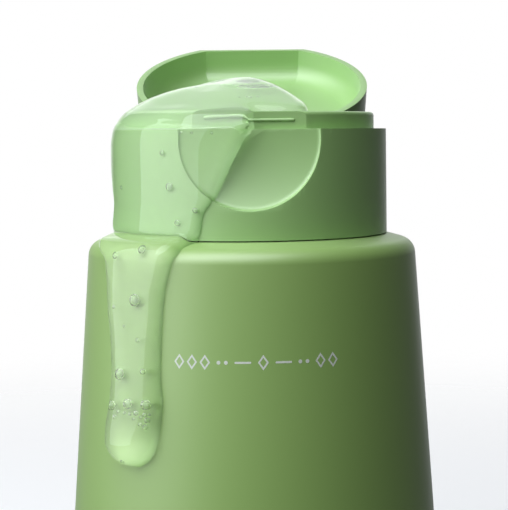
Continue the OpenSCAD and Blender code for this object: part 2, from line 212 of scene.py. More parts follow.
def plastic_material(name, tones):
    """Satin moulded plastic: a soft cloud of two near tones, a fine grain and a wide, weak gloss."""
    material, n = new_material(name)
    tone = n.blend(n.noise(60.0, 3.0), *tones)
    grain = n.noise(9000.0, 2.0)
    rough = n.add("ShaderNodeMapRange", {"Value": grain, "To Min": 0.4, "To Max": 0.5})
    bump = n.add("ShaderNodeBump", {"Height": grain, "Strength": 0.08, "Distance": 0.00002})
    shader = n.add("ShaderNodeBsdfPrincipled", {
        "Base Color": tone, "Roughness": rough.outputs["Result"], "IOR": 1.6, "Specular IOR Level": 1.0,
        "Coat Weight": 1.0, "Coat IOR": 1.6, "Coat Roughness": 0.62, "Sheen Weight": 0.3,
        "Sheen Roughness": 0.4, "Normal": bump.outputs["Normal"],
    })
    n.surface(shader)
    return material


def ink_material():
    """White print, a little speckled."""
    material, n = new_material("white_ink")
    tone = n.blend(n.noise(4000.0, 3.0), *INK_TONES)
    n.surface(n.add("ShaderNodeBsdfPrincipled", {"Base Color": tone, "Roughness": 0.45}))
    return material


# The gel's clear colour, and the darker green painted near the run's right-hand edge as painted shade in
# place of that edge's shadow
GEL_CLEAR, GEL_PAINTED_SHADE = (0.97, 1.0, 0.95), (0.4, 0.54, 0.34)
# How slanted the gel's skin is to a lamp's light where its shadow begins to deepen, and where it is deepest
SLANT_FROM, SLANT_TO = 0.42, 0.78
# How much more of the lamps' light the thick drop lets through where it gathers it
FOCUS_GAIN = 0.6


def gel_material(name, clearness, lets_through, edge):
    """Clear gel, with painted shade: a darker green near the run's right-hand edge, read from the rim
    attribute. Lamps shine through it, dimmed, so that what lies behind it isn't left in the dark.
    """
    material, n = new_material(name)
    # rim: how much painted shade each point gets, a darker green near the run's right-hand edge
    rim = n.add("ShaderNodeAttribute", attribute_name="rim")
    focus = n.add("ShaderNodeAttribute", attribute_name="focus")
    shader = n.add("ShaderNodeBsdfPrincipled", {
        "Base Color": n.blend(rim.outputs["Fac"], GEL_CLEAR, GEL_PAINTED_SHADE), "Roughness": 0.0, "IOR": 1.38,
        "Transmission Weight": clearness,
    })
    through = n.add("ShaderNodeMath", {
        0: focus.outputs["Fac"], 1: FOCUS_GAIN, 2: lets_through,
    }, operation="MULTIPLY_ADD")
    slant = n.add("ShaderNodeLayerWeight", {"Blend": 0.5})
    dimmed = n.add("ShaderNodeMapRange", {
        "Value": slant.outputs["Facing"], "From Min": SLANT_FROM, "From Max": SLANT_TO,
        "To Min": through.outputs[0], "To Max": edge,
    })
    clear = n.add("ShaderNodeBsdfTransparent", {"Color": dimmed.outputs["Result"]})
    path = n.add("ShaderNodeLightPath")
    n.surface(n.add("ShaderNodeMixShader", {
        0: path.outputs["Is Shadow Ray"], 1: shader.outputs[0], 2: clear.outputs[0],
    }))
    return material


# Half the floor's width, and the radii over which it fades into the surroundings, in metres
FLOOR_HALF = 0.6
FADE_FROM, FADE_TO = 0.12, 0.42


def floor_material():
    """White to the camera and fading into the white surroundings, dim to the light that it throws back."""
    material, n = new_material("floor")
    path = n.add("ShaderNodeLightPath")
    lit = n.add("ShaderNodeBsdfDiffuse", {"Color": (0.9, 0.9, 0.9, 1)})
    glow = n.add("ShaderNodeEmission", {"Color": (1, 1, 1, 1), "Strength": 0.1})
    white = n.add("ShaderNodeAddShader", {0: lit.outputs[0], 1: glow.outputs[0]})
    dim = n.add("ShaderNodeBsdfDiffuse", {"Color": (0.05, 0.05, 0.05, 1)})
    seen = n.add("ShaderNodeMixShader", {
        0: path.outputs["Is Camera Ray"], 1: dim.outputs[0], 2: white.outputs[0],
    })
    place = n.add("ShaderNodeTexCoord")
    radius = n.add("ShaderNodeVectorMath", {0: place.outputs["Object"]}, operation="LENGTH")
    fade = n.add("ShaderNodeMapRange", {
        "Value": radius.outputs["Value"], "From Min": FADE_FROM, "From Max": FADE_TO,
    }, interpolation_type="SMOOTHSTEP")
    clear = n.add("ShaderNodeBsdfTransparent")
    n.surface(n.add("ShaderNodeMixShader", {
        0: fade.outputs["Result"], 1: seen.outputs[0], 2: clear.outputs[0],
    }))
    return material


def make_floor():
    mesh = bpy.data.meshes.new("floor")
    form = bmesh.new()
    bmesh.ops.create_grid(form, x_segments=2, y_segments=2, size=FLOOR_HALF)
    form.to_mesh(mesh)
    form.free()
    mesh.materials.append(floor_material())
    link_new("floor", mesh)


def lookup(table, x):
    """The value at x of a table of (position, value) rows in rising order of position."""
    return np.interp(x, [row[0] for row in table], [row[1] for row in table])


def mesh_from(name, points, faces):
    mesh = bpy.data.meshes.new(name)
    mesh.from_pydata([tuple(p) for p in points], [], [tuple(f) for f in faces])
    mesh.update()
    return mesh


def link_new(name, data):
    made = bpy.data.objects.new(name, data)
    bpy.context.scene.collection.objects.link(made)
    return made


def apply_modifiers(made):
    """Gives the object its evaluated mesh in place of its modifiers."""
    graph = bpy.context.evaluated_depsgraph_get()
    mesh = bpy.data.meshes.new_from_object(made.evaluated_get(graph))
    made.modifiers.clear()
    made.data = mesh
    return mesh


def outward(made):
    """The object with its faces turned outward."""
    form = bmesh.new()
    form.from_mesh(made.data)
    bmesh.ops.recalc_face_normals(form, faces=form.faces)
    form.to_mesh(made.data)
    form.free()
    return made


def around(count):
    """Pairs of each number under count and the one after it, back to 0 at the end."""
    return [(k, (k + 1) % count) for k in range(count)]


# Plastic parts, built in millimetres and scaled to metres when finished

ARC_STEPS = 8
LATHE_STEPS = 240
LONGEST = 1.6
# Radii of a crisp and a softer corner of a profile
CRISP, SOFT = 0.2, 0.3


def round_corner(before, corner, after, radius):
    """Points of the arc that rounds a corner of a path."""
    u = (before - corner) / np.linalg.norm(before - corner)
    v = (after - corner) / np.linalg.norm(after - corner)
    half = math.acos(np.clip(u @ v, -1, 1)) / 2
    middle = (u + v) / np.linalg.norm(u + v)
    centre = corner + middle * radius / math.sin(half)
    start = corner + u * radius / math.tan(half) - centre
    finish = corner + v * radius / math.tan(half) - centre
    sign = math.copysign(1, start[0] * finish[1] - start[1] * finish[0])
    first = math.atan2(start[1], start[0])
    turns = first + sign * (math.pi - 2 * half) * np.linspace(0, 1, ARC_STEPS + 1)
    return [centre + radius * np.array([math.cos(t), math.sin(t)]) for t in turns]


def rounded(path):
    """A closed path of (x, y, radius) corners as plain points."""
    flat = [np.array(corner[:2], float) for corner in path]
    points = []
    for i, corner in enumerate(path):
        if corner[2] > 0:
            points += round_corner(flat[i - 1], flat[i], flat[(i + 1) % len(path)], corner[2])
        else:
            points.append(flat[i])
    return points


def split_long(points):
    """The same closed path with long stretches divided, apart from those on the axis."""
    out = []
    for i, j in around(len(points)):
        a, b = points[i], points[j]
        pieces = max(1, int(np.linalg.norm(b - a) / LONGEST)) if max(a[0], b[0]) > 0.01 else 1
        out += [a + (b - a) * k / pieces for k in range(pieces)]
    return out


def lathe(name, path, steps=LATHE_STEPS):
    """A closed body turned about the Z axis from a closed path of (radius, height, corner radius)."""
    form = bmesh.new()
    rings = []
    for r, z in split_long(rounded(path)):
        if r < 1e-6:
            rings.append([form.verts.new((0, 0, z))] * steps)
            continue
        turns = (2 * math.pi * k / steps for k in range(steps))
        rings.append([form.verts.new((r * math.cos(t), r * math.sin(t), z)) for t in turns])
    for lower, upper in zip(rings, rings[1:] + rings[:1]):
        for k, after in around(steps):
            corners = list(dict.fromkeys((lower[k], lower[after], upper[after], upper[k])))
            if len(corners) > 2:
                form.faces.new(corners)
    bmesh.ops.recalc_face_normals(form, faces=form.faces)
    mesh = bpy.data.meshes.new(name)
    form.to_mesh(mesh)
    form.free()
    return link_new(name, mesh)


def prism(name, outline, low, high):
    """A closed body with a polygon outline in Y and Z, from low to high in X."""
    points = [(x, y, z) for x in (low, high) for y, z in outline]
    count = len(outline)
    faces = [tuple(range(count)), tuple(range(2 * count - 1, count - 1, -1))]
    faces += [(k, count + k, count + after, after) for k, after in around(count)]
    return outward(link_new(name, mesh_from(name, points, faces)))


def block(name, low, high):
    outline = [(low[1], low[2]), (high[1], low[2]), (high[1], high[2]), (low[1], high[2])]
    return prism(name, outline, low[0], high[0])


def combine(body, tool, operation):
    """The body with the tool cut from it, joined to it or in common with it. The tool is used up."""
    change = body.modifiers.new("combine", "BOOLEAN")
    change.operation = operation
    change.solver = "EXACT"
    change.object = tool
    apply_modifiers(body)
    bpy.data.objects.remove(tool)
    return body


WELD, THINNEST = 0.012, 0.01
BEVEL_FROM, SHARP_FROM = math.radians(28), math.radians(40)


def weld(mesh):
    form = bmesh.new()
    form.from_mesh(mesh)
    bmesh.ops.remove_doubles(form, verts=form.verts, dist=WELD)
    bmesh.ops.dissolve_degenerate(form, edges=form.edges, dist=THINNEST)
    form.to_mesh(mesh)
    form.free()


def mark_sharp(mesh):
    form = bmesh.new()
    form.from_mesh(mesh)
    for edge in form.edges:
        if len(edge.link_faces) == 2 and edge.calc_face_angle(0) > SHARP_FROM:
            edge.smooth = False
    form.to_mesh(mesh)
    form.free()


def finish_plastic(made, width=0):
    """Small rounds on the sharp edges, even normals, and metres in place of millimetres."""
    weld(made.data)
    if width:
        bevel = made.modifiers.new("bevel", "BEVEL")
        bevel.width = width
        bevel.segments = 3
        bevel.limit_method = "ANGLE"
        bevel.angle_limit = BEVEL_FROM
    mesh = apply_modifiers(made)
    mesh.transform(Matrix.Scale(MM, 4))
    mesh.polygons.foreach_set("use_smooth", [True] * len(mesh.polygons))
    mark_sharp(mesh)
    weighted = made.modifiers.new("weighted", "WEIGHTED_NORMAL")
    weighted.keep_sharp = True
    weighted.weight = 80
    return made


# Bottle: the rounds of its shoulder and foot, the standing ring's width, the pushed-up middle and the wall
SHOULDER_ROUND, FOOT_ROUND, FOOT_RING, PUSH_UP, BOTTLE_WALL = 2.0, 3.0, 3.2, 1.4, 1.0
# Rounds where the base is pushed up, on the standing ring, at the closure's seat and at the neck's root
PUSH_ROUND, RING_ROUND, SEAT_ROUND, ROOT_ROUND = 2, 0.6, 1.5, 0.8
# How much smaller the inside's rounds are than the outside's
INSIDE_LESS = 0.5
# Neck, and how far its snap bead stands out, the bead's height, its place under the neck's top and its lead
NECK_R, NECK_WALL, SNAP_OUT, SNAP_H, SNAP_DROP, SNAP_LEAD = 12.0, 1.4, 0.9, 1.8, 2.2, 0.1
# Play between neck and closure
NECK_PLAY = 0.1


def side_r(z, inset=0.0):
    """Radius of the bottle's side at a height over the ground."""
    return SHOULDER_R + (BODY_H - z) * math.tan(TAPER) - inset / math.cos(TAPER)


def shoulder_corner(inset=0.0):
    """Radius and height where the side would meet the sloping shoulder."""
    drop = inset / math.cos(SHOULDER_SLOPE)
    slope, lean = math.tan(SHOULDER_SLOPE), math.tan(TAPER)
    r = (side_r(BODY_H, inset) + lean * drop - CAP_R * slope * lean) / (1 - slope * lean)
    return r, BODY_H - drop - (r - CAP_R) * slope


def make_bottle():
    neck_top = LEDGE_Z + DECK_H - DECK_WALL - NECK_PLAY
    snap_top = neck_top - SNAP_DROP
    snap_low = snap_top - SNAP_H
    snap_r = NECK_R + SNAP_OUT
    foot_in = side_r(0) - FOOT_ROUND - FOOT_RING
    push_in = foot_in - 2 * PUSH_UP
    inner_top = BODY_H - BOTTLE_WALL
    bore_r = NECK_R - NECK_WALL
    outside = [
        (0, PUSH_UP, 0), (push_in, PUSH_UP, PUSH_ROUND), (foot_in, 0, RING_ROUND),
        (side_r(0), 0, FOOT_ROUND), (*shoulder_corner(), SHOULDER_ROUND),
        (CAP_R, BODY_H, SEAT_ROUND), (NECK_R, BODY_H, ROOT_ROUND),
        (NECK_R, snap_low, 0), (snap_r, snap_low + SNAP_LEAD, SOFT), (snap_r, snap_low + SNAP_H / 2, SOFT),
        (NECK_R, snap_top, CRISP), (NECK_R, neck_top, SOFT),
    ]
    inside = [
        (bore_r, neck_top, SOFT), (bore_r, inner_top, ROOT_ROUND),
        (CAP_R - BOTTLE_WALL, inner_top, SEAT_ROUND),
        (*shoulder_corner(BOTTLE_WALL), SHOULDER_ROUND - INSIDE_LESS),
        (side_r(BOTTLE_WALL, BOTTLE_WALL), BOTTLE_WALL, FOOT_ROUND - INSIDE_LESS),
        (foot_in, BOTTLE_WALL, PUSH_ROUND), (push_in, PUSH_UP + BOTTLE_WALL, PUSH_ROUND),
        (0, PUSH_UP + BOTTLE_WALL, 0),
    ]
    return finish_plastic(lathe("bottle_shell", outside + inside))


# Closure: its deck's wall and round, the spout, the orifice, and the small rounds on its edges
DECK_WALL, DECK_ROUND = 1.3, 0.45
SPOUT_R, SPOUT_H, ORIFICE_R = 3.2, 1.2, 1.5
EDGE_ROUND = 0.16
# Radii of the rings on the recess's floor, and the round between floor and side
RECESS_RINGS = (2.0, 4.0, 5.5, 6.5, 7.0, 7.3, 7.5, 7.7, 7.9, 8.05, 8.15, 8.22, 8.27, RECESS_R)
RECESS_SPOKES = 144
FLOOR_ROUND = 0.45
# A place outside the closure that cutting tools reach to, and one outside the recess's opening
OUTSIDE, OVER_RECESS = 20, 22


def recess_point(r, t):
    """A point of the recess's floor at a radius and a turn about the recess's middle."""
    x, z = r * math.cos(t), r * math.sin(t) - RECESS_DROP
    floor = RECESS_FLOOR + SCOOP_R - math.sqrt(SCOOP_R ** 2 - z ** 2)
    rise = max(0.0, r - (RECESS_R - FLOOR_ROUND))
    floor += FLOOR_ROUND - math.sqrt(max(0.0, FLOOR_ROUND ** 2 - rise ** 2))
    return x, -floor, z + LEDGE_Z


def recess_tool():
    """What the thumb recess takes away: round outline, hollow floor, and a soft turn from floor to side."""
    middle = LEDGE_Z - RECESS_DROP
    turns = [2 * math.pi * k / RECESS_SPOKES for k in range(RECESS_SPOKES)]
    points = [(0, -OVER_RECESS, middle), (0, -RECESS_FLOOR, middle)]
    points += [recess_point(r, t) for r in RECESS_RINGS for t in turns]
    front = len(points)
    points += [(RECESS_R * math.cos(t), -OVER_RECESS, RECESS_R * math.sin(t) + middle) for t in turns]
    faces = []
    for k, after in around(RECESS_SPOKES):
        faces.append((1, 2 + k, 2 + after))
        for ring in range(len(RECESS_RINGS)):
            a = 2 + ring * RECESS_SPOKES
            faces.append((a + k, a + RECESS_SPOKES + k, a + RECESS_SPOKES + after, a + after))
        faces.append((front + k, 0, front + after))
    return outward(link_new("recess_tool", mesh_from("recess_tool", points, faces)))


def hinge_cut(low, high):
    """What is cut flat behind the hinge's face, between two heights."""
    return block("hinge_cut", (-HINGE_W / 2, HINGE_FACE, low), (HINGE_W / 2, OUTSIDE, high))


def make_closure():
    low = LEDGE_Z - CAP_H
    deck_top = LEDGE_Z + DECK_H
    roof = deck_top - DECK_WALL
    skirt_in = NECK_R + SNAP_OUT + NECK_PLAY
    body = lathe("closure", [
        (CAP_R, low, 0), (TOP_R, LEDGE_Z, 0), (DECK_R, LEDGE_Z, 0), (DECK_R, deck_top, DECK_ROUND),
        (SPOUT_R, deck_top, SOFT), (SPOUT_R, deck_top + SPOUT_H, SOFT),
        (ORIFICE_R, deck_top + SPOUT_H, CRISP), (ORIFICE_R, roof, 0), (skirt_in, roof, 0),
        (skirt_in, low, 0),
    ])
    body = combine(body, recess_tool(), "DIFFERENCE")
    over_spout = LEDGE_Z + 6
    front_cut = block("deck_cut", (-OUTSIDE, -OUTSIDE, LEDGE_Z), (OUTSIDE, -DECK_FRONT, over_spout))
    body = combine(body, front_cut, "DIFFERENCE")
    body = combine(body, hinge_cut(LEDGE_Z - 1.2, LEDGE_Z + 1), "DIFFERENCE")
    return finish_plastic(body, EDGE_ROUND)


# Lid: its height, wall and roof, how much narrower its top is, and the rounds of top and bowl
LID_H, LID_WALL, LID_ROOF, LID_DRAFT, LID_ROUND, BOWL_ROUND = 5.6, 0.9, 1.0, 0.25, 1.1, 2.6
# Its front wall, the gap over the ledge when shut, and the play in front of the deck
LID_FRONT_WALL, LID_GAP, LID_PLAY = 0.58, 0.12, 0.32
LID_FRONT = DECK_FRONT + LID_PLAY + LID_FRONT_WALL
LID_OPEN = math.radians(157)
# Stopper pin: its play in the orifice, how deep it goes, its flare and how far it runs into the roof
PIN_PLAY, PIN_IN, PIN_FLARE, PIN_ROOT = 0.2, 1.0, 0.6, 0.5
PIN_STEPS = 64
# Hinge: its axis, its width and thickness, and the flat faces that it joins
HINGE_Y, HINGE_Z, HINGE_W, HINGE_T = 17.15, LEDGE_Z + 0.13, 6.0, 0.3
HINGE_FACE = 16.59
# How far tools reach past what they cut from the lid, and a place well outside it
PAST, WELL_OUTSIDE = 1, 34


def open_turn():
    """The turn about the hinge axis from the closed lid to where it stands, in millimetres."""
    axis = Matrix.Translation((0, HINGE_Y, HINGE_Z))
    return axis @ Matrix.Rotation(-LID_OPEN, 4, "X") @ axis.inverted()


def lid_hollow(rim, roof):
    """The space in the closed lid: a rounded bowl, cut flat at the front."""
    rim_in = TOP_R - LID_WALL
    front_in = LID_FRONT_WALL - LID_FRONT
    hollow = lathe("hollow", [
        (0, rim - PAST, 0), (rim_in, rim - PAST, 0), (rim_in - LID_DRAFT / 2, roof, BOWL_ROUND),
        (0, roof, 0),
    ])
    outline = rounded([
        (front_in, rim - 2 * PAST, 0), (WELL_OUTSIDE, rim - 2 * PAST, 0), (WELL_OUTSIDE, roof + PAST, 0),
        (BOWL_ROUND, roof + PAST, 0), (0, roof, 0), (front_in, roof, BOWL_ROUND),
    ])
    return combine(hollow, prism("hollow_limit", outline, -WELL_OUTSIDE, WELL_OUTSIDE), "INTERSECT")


def stopper_pin(roof):
    pin_r = ORIFICE_R - PIN_PLAY
    root_r = pin_r + PIN_FLARE
    tip = LEDGE_Z + DECK_H + SPOUT_H - PIN_IN
    return lathe("pin", [
        (0, tip, 0), (pin_r, tip, 0), (pin_r, roof - PIN_FLARE, 0), (root_r, roof, 0),
        (root_r, roof + PIN_ROOT, 0), (0, roof + PIN_ROOT, 0),
    ], PIN_STEPS)


def make_lid():
    rim = LEDGE_Z + LID_GAP
    top = rim + LID_H
    roof = top - LID_ROOF
    body = lathe("lid_shell", [
        (0, rim, 0), (TOP_R, rim, 0), (TOP_R - LID_DRAFT, top, LID_ROUND), (0, top, 0),
    ])
    body = combine(body, lid_hollow(rim, roof), "DIFFERENCE")
    front_cut = block(
        "front_cut", (-WELL_OUTSIDE, -WELL_OUTSIDE, rim - PAST), (WELL_OUTSIDE, -LID_FRONT, top + PAST)
    )
    body = combine(body, front_cut, "DIFFERENCE")
    body = combine(body, hinge_cut(rim - PAST, rim + LID_WALL), "DIFFERENCE")
    body = combine(body, stopper_pin(roof), "UNION")
    body.data.transform(open_turn())
    return finish_plastic(body, EDGE_ROUND)


# Snap rib on the deck's front: length, height, how far it stands out, place, depth in the deck
RIB_LENGTH, RIB_H, RIB_OUT, RIB_Z, RIB_IN = 10.5, 0.38, 0.2, 1.05, 0.3
# Length of its rounded ends, where its straight part begins, and how thin it gets, as a share
RIB_END, RIB_STRAIGHT, RIB_TIP = 0.25, 0.6, 0.05
RIB_ARC = 9


def rib_section(x):
    """Outline of the snap rib across its length, at x from its left end."""
    end = min(x, RIB_LENGTH - x, RIB_END) / RIB_END
    size = max(math.sqrt(1 - (1 - end) ** 2), RIB_TIP)
    at, middle, half = x - RIB_LENGTH / 2, LEDGE_Z + RIB_Z, RIB_H / 2 * size
    outline = [
        (at, -DECK_FRONT - RIB_OUT * size * math.sin(t), middle + half * math.cos(t))
        for t in np.linspace(0, math.pi, RIB_ARC)
    ]
    back = RIB_IN - DECK_FRONT
    return outline + [(at, back, middle - half), (at, back, middle + half)]


def snap_rib():
    """The low rib on the deck's front, with rounded ends."""
    stations = np.concatenate([
        np.linspace(0, RIB_END, 6), np.linspace(RIB_STRAIGHT, RIB_LENGTH - RIB_STRAIGHT, 24),
        np.linspace(RIB_LENGTH - RIB_END, RIB_LENGTH, 6),
    ])
    sections = [rib_section(x) for x in stations]
    count = len(sections[0])
    points = [p for section in sections for p in section]
    faces = [tuple(range(count)), tuple(range(len(points) - 1, len(points) - 1 - count, -1))]
    for i in range(len(sections) - 1):
        start = i * count
        faces += [(start + k, start + k + count, start + j + count, start + j) for k, j in around(count)]
    return finish_plastic(outward(link_new("snap_rib", mesh_from("snap_rib", points, faces))))


# Web of the hinge: its place in from the rims and its thinning, as shares of its thickness, and its steps
WEB_IN, WEB_THIN = 0.2, 0.25
WEB_STEPS, WEB_ACROSS = 10, 12


def strip_faces():
    """Faces of the web's two sides, its long edges and its ends."""
    row = 2 * (WEB_ACROSS + 1)
    faces = []
    for i in range(WEB_STEPS):
        a, b = i * row, (i + 1) * row
        for j in range(0, 2 * WEB_ACROSS, 2):
            faces.append((a + j, a + j + 2, b + j + 2, b + j))
            faces.append((a + j + 1, b + j + 1, b + j + 3, a + j + 3))
        faces.append((a, b, b + 1, a + 1))
        faces.append((a + row - 2, a + row - 1, b + row - 1, b + row - 2))
    for a in (0, WEB_STEPS * row):
        faces += [(a + j, a + j + 1, a + j + 3, a + j + 2) for j in range(0, 2 * WEB_ACROSS, 2)]
    return faces


def hinge_strip():
    """The thin web of the living hinge, bent from closure to lid, and the middles of its ends."""
    turn = open_turn()
    rim = LEDGE_Z + LID_GAP
    low = WEB_IN * HINGE_T
    a_under = Vector((0, HINGE_FACE, LEDGE_Z - low - HINGE_T))
    a_over = Vector((0, HINGE_FACE, LEDGE_Z - low))
    b_over = turn @ Vector((0, HINGE_FACE, rim + low))
    b_under = turn @ Vector((0, HINGE_FACE, rim + low + HINGE_T))
    points = []
    for i in range(WEB_STEPS + 1):
        t = i / WEB_STEPS
        thin = 1 - WEB_THIN * math.sin(math.pi * t)
        over, under = a_over.lerp(b_over, t), a_under.lerp(b_under, t)
        under = over + (under - over) * thin
        for k in range(WEB_ACROSS + 1):
            x = HINGE_W * (k / WEB_ACROSS - 0.5)
            points += [(x, over.y, over.z), (x, under.y, under.z)]
    made = finish_plastic(outward(link_new("hinge_strip", mesh_from("hinge_strip", points, strip_faces()))))
    return made, (a_over + a_under) / 2 * MM, (b_over + b_under) / 2 * MM


def dress(piece, material):
    piece.data.materials.clear()
    piece.data.materials.append(material)


def make_plastic(body_plastic, cap_plastic):
    pieces = (
        (make_bottle(), "bottle", "bottle_body", body_plastic),
        (make_closure(), "cap_base", "bottle_body", cap_plastic),
        (make_lid(), "lid", "lid_body", cap_plastic),
    )
    for piece, node, body, material in pieces:
        dress(piece, material)
        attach(piece, body)
        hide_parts(node)
    rib = snap_rib()
    dress(rib, cap_plastic)
    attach(rib, "bottle_body")
    strip, start, end = hinge_strip()
    dress(strip, cap_plastic)
    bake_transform(strip)
    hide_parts("hinge_web")


# Cleanser. All its heights are over the ledge, in millimetres.

# Where the run's edges lie around the bottle at each height, in degrees from the front
RUN_LEFT = (
    (-39.05, -39.6), (-38.9, -42.2), (-38.5, -44.4), (-37.7, -46.3), (-36.5, -47.8), (-34, -48.4),
    (-31.8, -47.9),
    (-28, -48.2), (-24.7, -49.4), (-21.2, -51.6), (-17.7, -52.8), (-15.4, -54.2), (-13.6, -66), (-12.8, -74),
    (-11.3, -76), (-8.8, -76), (-6, -82), (-3, -94), (-0.8, -101), (0.7, -103),
)
RUN_RIGHT = (
    (-39.05, -39.6), (-38.9, -37.0), (-38.5, -34.4), (-37.7, -32), (-36.5, -30.2), (-34, -28.9),
    (-31, -28.2),
    (-28, -29.4), (-23, -29.2), (-20.6, -28.9), (-18.3, -28.4), (-15, -26.1), (-13.4, -24), (-12.5, -20.2),
    (-9.8, -18.9), (-8.1, -14.7), (-4, -8.6), (-0.3, -1.8), (0.7, -0.6),
)
RUN_END = RUN_LEFT[0][0]
RUN_THICKNESS = (
    (-39.05, 2.2), (-36.5, 2.9), (-33.5, 2.4), (-29, 1.7), (-24, 1.45), (-15, 1.4), (-12, 0.9), (-9, 0.6),
    (-2, 0.58), (-1, 0.5), (0, 0.3), (0.8, 0.0),
)
# How far in from its edge the run reaches its full thickness, and the power of its rounded side
RUN_SHOULDER = ((-39.05, 3.2), (-33, 2.9), (-27, 2.1), (-15, 1.7), (-11, 1.0), (0.8, 0.9))
SIDE_POWER = 2.6
# How deep in the walls the run's hidden inner surface lies, and how deep under the recess's floor
SHELL_IN, FLOOR_IN = 0.8, 0.45
# How far over the edge the grid goes on, sloping in, and how steep that slope is
EDGE_OVER, EDGE_SLOPE = 0.45, 1.1
# The grid around the bottle, in degrees, and its spacing down the walls
GRID_FROM, GRID_TO, GRID_STEP = -112.0, 8.0, 0.8
STATION = 0.25
# Where the grid begins and ends
GRID_TOP, GRID_END = 0.75, -39.8
# The path over the bottle's shoulder: its outer corner, and which way it faces by share, in degrees upward
CORNER_R = 20.55
SHOULDER_LEAN = ((0.05, 40), (0.25, 62), (0.7, 66), (0.85, 50))


def path_stations():
    """Rows down closure and bottle: distance from the axis, height over the ledge, slope, path length."""
    seat = BODY_H - LEDGE_Z
    slope = math.tan(SHOULDER_SLOPE)
    corner_z = seat - (CORNER_R - CAP_R) * slope
    rows = [(CAP_R, z, 0.0) for z in np.arange(GRID_TOP, seat + 0.5, -STATION)]
    for share in np.linspace(SHOULDER_LEAN[0][0], SHOULDER_LEAN[-1][0], 10):
        r = CAP_R + (CORNER_R - CAP_R) * share
        rows.append((r, corner_z + (CORNER_R - r) * slope, math.radians(lookup(SHOULDER_LEAN, share))))
    rows.append((CORNER_R - 0.12, corner_z - 0.3, math.radians(32)))
    rows.append((CORNER_R + 0.05, corner_z - 0.75, math.radians(16)))
    for z in np.arange(corner_z - 1.2, GRID_END, -STATION):
        rows.append((side_r(z + LEDGE_Z), z, TAPER))
    rows = np.array(rows)
    steps = np.hypot(np.diff(rows[:, 0]), np.diff(rows[:, 1]))
    return np.column_stack([rows, np.concatenate([[0], np.cumsum(steps)])])


def distance_to_line(points, line):
    """Least distance from each 2D point to an open polyline."""
    best = np.full(len(points), np.inf)
    for a, b in zip(line[:-1], line[1:]):
        edge = b - a
        share = np.clip(((points - a) @ edge) / max(edge @ edge, 1e-12), 0, 1)
        best = np.minimum(best, np.linalg.norm(points - a - share[:, None] * edge, axis=1))
    return best


def edge_line(rows, table):
    """An edge of the run on the unrolled wall: path length down it and distance around it."""
    return np.column_stack([rows[:, 3], rows[:, 0] * np.radians(lookup(table, rows[:, 1]))])


def edge_distance(rows, angle_grid):
    """How far each grid point lies in from the run's edge on the unrolled wall, below zero outside it."""
    distance_around = rows[:, :1] * np.radians(angle_grid)
    flat = np.column_stack([np.repeat(rows[:, 3], angle_grid.shape[1]), distance_around.ravel()])
    over_end = rows[:, 1] > RUN_END
    left, right = (edge_line(rows, table)[over_end] for table in (RUN_LEFT, RUN_RIGHT))
    distance = distance_to_line(flat, np.concatenate([left, right[::-1]])).reshape(angle_grid.shape)
    first, last = (lookup(table, rows[:, 1])[:, None] for table in (RUN_LEFT, RUN_RIGHT))
    inside = (angle_grid > first) & (angle_grid < last) & over_end[:, None]
    return np.where(inside, distance, -distance)


def run_ground(rows, angle_grid):
    """Offsets from the wall of what the run lies on, and of its hidden inner surface."""
    z = rows[:, 1:2]
    x = rows[:, :1] * np.sin(np.radians(angle_grid))
    from_recess = np.hypot(x, z + RECESS_DROP) - RECESS_R
    floor_y = RECESS_FLOOR + SCOOP_R - np.sqrt(np.maximum(SCOOP_R ** 2 - z ** 2, 0))
    floor = np.minimum(floor_y / np.maximum(np.cos(np.radians(angle_grid)), 0.2) - CAP_R, 0)
    under_ledge = z < 0.1
    ground = np.where((from_recess < -0.15) & under_ledge, floor, 0)
    inner = np.where((from_recess < 0.4) & under_ledge, np.minimum(floor - FLOOR_IN, -SHELL_IN), -SHELL_IN)
    return ground, inner


def offset_points(rows, angle_grid, offset):
    """Grid points at an offset out from the walls."""
    radius = rows[:, :1] + offset * np.cos(rows[:, 2:3])
    height = rows[:, 1:2] + offset * np.sin(rows[:, 2:3])
    a = np.radians(angle_grid)
    return np.stack([radius * np.sin(a), -radius * np.cos(a), height], -1).reshape(-1, 3)


def run_mesh():
    """Closed shell of the run, in millimetres over the ledge: points and faces."""
    rows = path_stations()
    angle_grid = np.tile(np.arange(GRID_FROM, GRID_TO, GRID_STEP), (len(rows), 1))
    distance = edge_distance(rows, angle_grid)
    ground, inner = run_ground(rows, angle_grid)
    thickness = lookup(RUN_THICKNESS, rows[:, 1])[:, None] - ground
    shoulder = lookup(RUN_SHOULDER, rows[:, 1])[:, None] - ground * 0.25
    share = np.clip(distance / shoulder, 0, 1)
    offset = ground + thickness * np.sqrt(1 - (1 - share) ** SIDE_POWER)
    offset = np.where(distance > 0, offset, ground + distance * EDGE_SLOPE)
    offset = np.maximum(offset, inner + 0.1)
    points = np.concatenate([offset_points(rows, angle_grid, level) for level in (offset, inner)])
    return points, shell_faces(distance > -EDGE_OVER)


def shell_faces(used):
    """Quads of the two sides and the rim of a shell whose grid points are used or not."""
    rows, count = used.shape
    far = rows * count
    cell = used[:-1, :-1] & used[1:, :-1] & used[:-1, 1:] & used[1:, 1:]
    faces = []
    for i, j in zip(*np.nonzero(cell)):
        a, b, c, d = i * count + j, i * count + j + 1, (i + 1) * count + j + 1, (i + 1) * count + j
        faces.append((a, d, c, b))
        faces.append((far + a, far + b, far + c, far + d))
        if i == 0 or not cell[i - 1, j]:
            faces.append((a, b, far + b, far + a))
        if i == rows - 2 or not cell[i + 1, j]:
            faces.append((c, d, far + d, far + c))
        if j == 0 or not cell[i, j - 1]:
            faces.append((d, a, far + a, far + d))
        if j == count - 2 or not cell[i, j + 1]:
            faces.append((b, c, far + c, far + b))
    return faces


# Mound: the place and height of its top, what it stands on, its hidden underside, and the power of its slope
MOUND_TOP = (-0.8, -1.5)
MOUND_H, MOUND_SEAT, MOUND_FOOT, MOUND_POWER = 6.55, DECK_H - 0.1, -0.6, 1.9
MOUND_SPOKES, MOUND_RINGS = 240, 60
